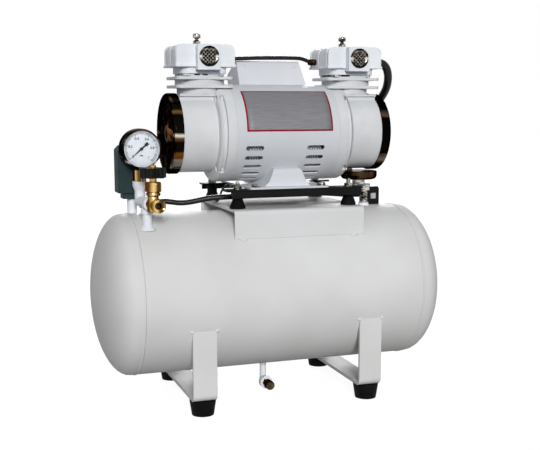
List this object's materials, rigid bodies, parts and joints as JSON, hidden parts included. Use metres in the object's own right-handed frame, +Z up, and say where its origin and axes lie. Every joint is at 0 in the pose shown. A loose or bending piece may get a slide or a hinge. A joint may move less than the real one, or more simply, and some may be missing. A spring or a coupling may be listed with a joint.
{
  "type": "oil-free air compressor",
  "caption": "Twin-head oil-free piston air compressor on a horizontal receiver, with strap legs, pressure gauge, stopcock, pressure switch and drain.",
  "frame": {"origin": "on the floor, under the middle of the receiver", "axes": "+X along the receiver towards the end without the gauge, +Y to the back, +Z up. The gauge and the stopcock face -Y."},
  "size_m": [0.484, 0.2178, 0.494],
  "materials": {
    "white_enamel": "gloss",
    "white_casting": "satin paint",
    "black_enamel": "satin",
    "black_rubber": "matt",
    "zinc_plated": "bright",
    "bright_chrome": "polished",
    "bright_steel": "ground",
    "core_steel": "laminated",
    "copper_winding": "varnished",
    "bare_alloy": "satin",
    "cup_plastic": "smooth",
    "gasket_black": "matt",
    "black_plastic": "matt",
    "wheel_black": "gloss",
    "wire_green": "smooth",
    "yellow_brass": "machined",
    "dark_bronze": "dull",
    "dial_white": "matt",
    "needle_black": "matt",
    "clear_glass": "clear",
    "slate_plastic": "smooth"
  },
  "bodies": {
    "frame": {"tank_shell": "white_enamel", "tank_end_left": "white_enamel", "tank_end_right": "white_enamel", "tank_sockets": "white_enamel", "leg_left": "white_enamel", "leg_right": "white_enamel", "rubber_feet": "black_rubber", "foot_screws": "zinc_plated", "saddle": "white_enamel", "rubber_mounts": "black_rubber", "base_rails": "black_enamel", "base_bolts": "zinc_plated", "motor_foot": "white_enamel", "motor_shell": "white_enamel", "stator_core": "core_steel", "windings": "copper_winding", "crankcase_left": "white_casting", "crankcase_right": "white_casting", "bearings": "bright_steel", "clamp_bolts": "zinc_plated", "cylinders": "white_casting", "head_gaskets": "gasket_black", "valve_plates": "white_casting", "reed_valves": "bright_steel", "head_left": "white_casting", "head_right": "white_casting", "head_bolts": "zinc_plated", "head_knobs": "bright_chrome", "filter_rims": "bright_chrome", "filter_screens": "bright_steel", "cowl_rings": "bright_chrome", "capacitor_box": "white_enamel", "capacitor": "black_plastic", "rating_plate": "bare_alloy", "link_hose": "black_rubber", "discharge_hose": "black_rubber", "damper_drum": "bright_chrome", "delivery_pipe": "bright_chrome", "junction_box": "black_plastic", "switch_cable": "black_rubber", "earth_wire": "wire_green", "pipe_tee": "white_enamel", "gauge_case": "bright_chrome", "gauge_dial": "dial_white", "gauge_glass": "clear_glass", "brass_fittings": "yellow_brass", "pressure_switch": "slate_plastic", "drain_cock": "dark_bronze"},
    "shaft": {"shaft": "bright_steel", "rotor": "core_steel", "eccentrics": "core_steel", "fans": "black_plastic"},
    "rod_left": {"rod_left": "bare_alloy", "cup_left": "cup_plastic"},
    "rod_right": {"rod_right": "bare_alloy", "cup_right": "cup_plastic"},
    "spindle": {"spindle": "yellow_brass"},
    "handwheel": {"handwheel": "wheel_black"},
    "gauge_needle": {"gauge_needle": "needle_black"},
    "drain_knob": {"drain_knob": "dark_bronze"}
  },
  "joints": [
    {"name": "shaft_spin", "type": "hinge", "parent": "frame", "child": "shaft", "pos_m": [0.0172, 0.012, 0.36065], "axis": [1, 0, 0], "continuous": true},
    {"name": "rod_left_turn", "type": "hinge", "parent": "shaft", "child": "rod_left", "pos_m": [-0.0892, 0.012, 0.36465], "axis": [1, 0, 0], "continuous": true},
    {"name": "rod_right_turn", "type": "hinge", "parent": "shaft", "child": "rod_right", "pos_m": [0.1236, 0.012, 0.35665], "axis": [1, 0, 0], "continuous": true},
    {"name": "spindle_lift", "type": "slide", "parent": "frame", "child": "spindle", "axis": [0, 0, 1], "range_m": [0, 0.00375]},
    {"name": "wheel_turn", "type": "hinge", "parent": "spindle", "child": "handwheel", "pos_m": [-0.1739, -0.07621, 0.309], "axis": [0, 0, 1], "range_deg": [0, 1080]},
    {"name": "needle_turn", "type": "hinge", "parent": "frame", "child": "gauge_needle", "pos_m": [-0.18034, -0.0388, 0.3432], "axis": [0, 1, 0], "range_deg": [0, 270], "stiffness_Nm_per_rad": 0.0005, "springref_deg": -20.05},
    {"name": "drain_turn", "type": "hinge", "parent": "frame", "child": "drain_knob", "pos_m": [-0.004, -0.0285, 0.0115], "axis": [0, 1, 0], "range_deg": [0, 360]}
  ],
  "couplings": [
    {"joint": "rod_left_turn", "follows": "shaft_spin", "ratio": -1},
    {"joint": "rod_right_turn", "follows": "shaft_spin", "ratio": -1},
    {"joint": "wheel_turn", "follows": "spindle_lift", "rad_per_m": 5026.5}
  ]
}
